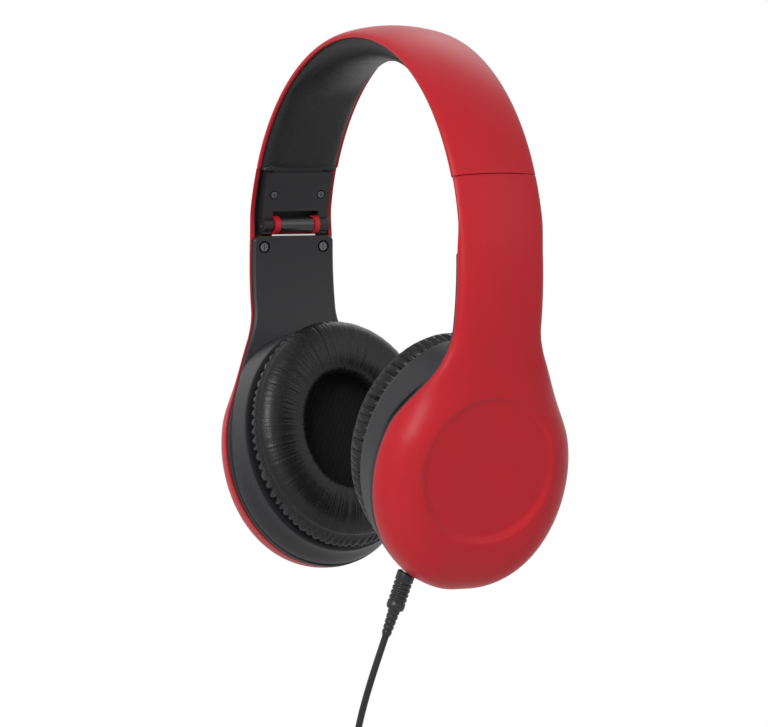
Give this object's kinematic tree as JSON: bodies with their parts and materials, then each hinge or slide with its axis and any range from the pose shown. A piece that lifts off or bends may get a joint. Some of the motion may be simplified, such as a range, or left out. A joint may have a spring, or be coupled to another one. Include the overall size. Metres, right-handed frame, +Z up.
{
  "type": "folding over-ear headphones",
  "caption": "Folding over-ear headphones with a padded band, size adjusters, padded ear cups and a plug-in cable.",
  "frame": {"origin": "underside of the head pad at the middle of the band", "axes": "+Z up, +X towards the wearer's left, where the cable plugs in, -Y to the front"},
  "size_m": [0.1608, 0.0744, 0.3462],
  "materials": {
    "red_plastic": "satin",
    "black_plastic": "satin",
    "soft_skin": "soft, finely grained",
    "cloth": "fine weave",
    "cable_jacket": "satin",
    "steel": "brushed",
    "magnet_steel": "ground",
    "plug_metal": "polished",
    "film": "thin film"
  },
  "bodies": {
    "band": {"band_shell": "red_plastic", "head_pad": "soft_skin", "band_spring": "steel", "left_guide_cover": "black_plastic", "right_guide_cover": "black_plastic"},
    "left_slider": {"left_slide_strip": "steel", "left_hinge_block": "black_plastic", "left_block_screws": "steel", "left_fold_pin": "steel", "left_fold_barrel": "black_plastic"},
    "right_slider": {"right_slide_strip": "steel", "right_hinge_block": "black_plastic", "right_block_screws": "steel", "right_fold_pin": "steel", "right_fold_barrel": "black_plastic"},
    "left_cup": {"left_fold_bracket": "red_plastic", "left_latch_leaf": "steel", "left_outer_shell": "red_plastic", "left_inner_cover": "black_plastic", "left_arm_screws": "steel", "left_cup_bowl": "black_plastic", "left_baffle": "black_plastic", "left_baffle_screws": "steel", "left_driver_basket": "black_plastic", "left_magnet": "magnet_steel", "left_diaphragm": "film", "left_ear_cloth": "cloth", "left_ear_cushion": "soft_skin", "jack_socket": "black_plastic"},
    "right_cup": {"right_fold_bracket": "red_plastic", "right_latch_leaf": "steel", "right_outer_shell": "red_plastic", "right_inner_cover": "black_plastic", "right_arm_screws": "steel", "right_cup_bowl": "black_plastic", "right_baffle": "black_plastic", "right_baffle_screws": "steel", "right_driver_basket": "black_plastic", "right_magnet": "magnet_steel", "right_diaphragm": "film", "right_ear_cloth": "cloth", "right_ear_cushion": "soft_skin"},
    "cable_set": {"plug_tip": "plug_metal", "plug_grip": "black_plastic", "cable_relief": "cable_jacket", "cable": "cable_jacket", "cable_hank": "cable_jacket", "hank_tie": "cable_jacket", "far_relief": "cable_jacket", "far_plug_grip": "black_plastic", "far_plug_tip": "plug_metal"}
  },
  "joints": [
    {"name": "left_slide", "type": "slide", "parent": "band", "child": "left_slider", "axis": [0.4695, 0, -0.8829], "range_m": [0, 0.015]},
    {"name": "left_fold", "type": "hinge", "parent": "left_slider", "child": "left_cup", "pos_m": [0.07322, 0, -0.0596], "axis": [0, 1, 0], "range_deg": [0, 20]},
    {"name": "right_slide", "type": "slide", "parent": "band", "child": "right_slider", "axis": [-0.4695, 0, -0.8829], "range_m": [0, 0.015]},
    {"name": "right_fold", "type": "hinge", "parent": "right_slider", "child": "right_cup", "pos_m": [-0.07322, 0, -0.0596], "axis": [0, 1, 0], "range_deg": [-40, 0]},
    {"name": "cable_plug", "type": "slide", "parent": "left_cup", "child": "cable_set", "axis": [-0.2275, -0.225, -0.9474], "range_m": [0, 0.016]}
  ]
}
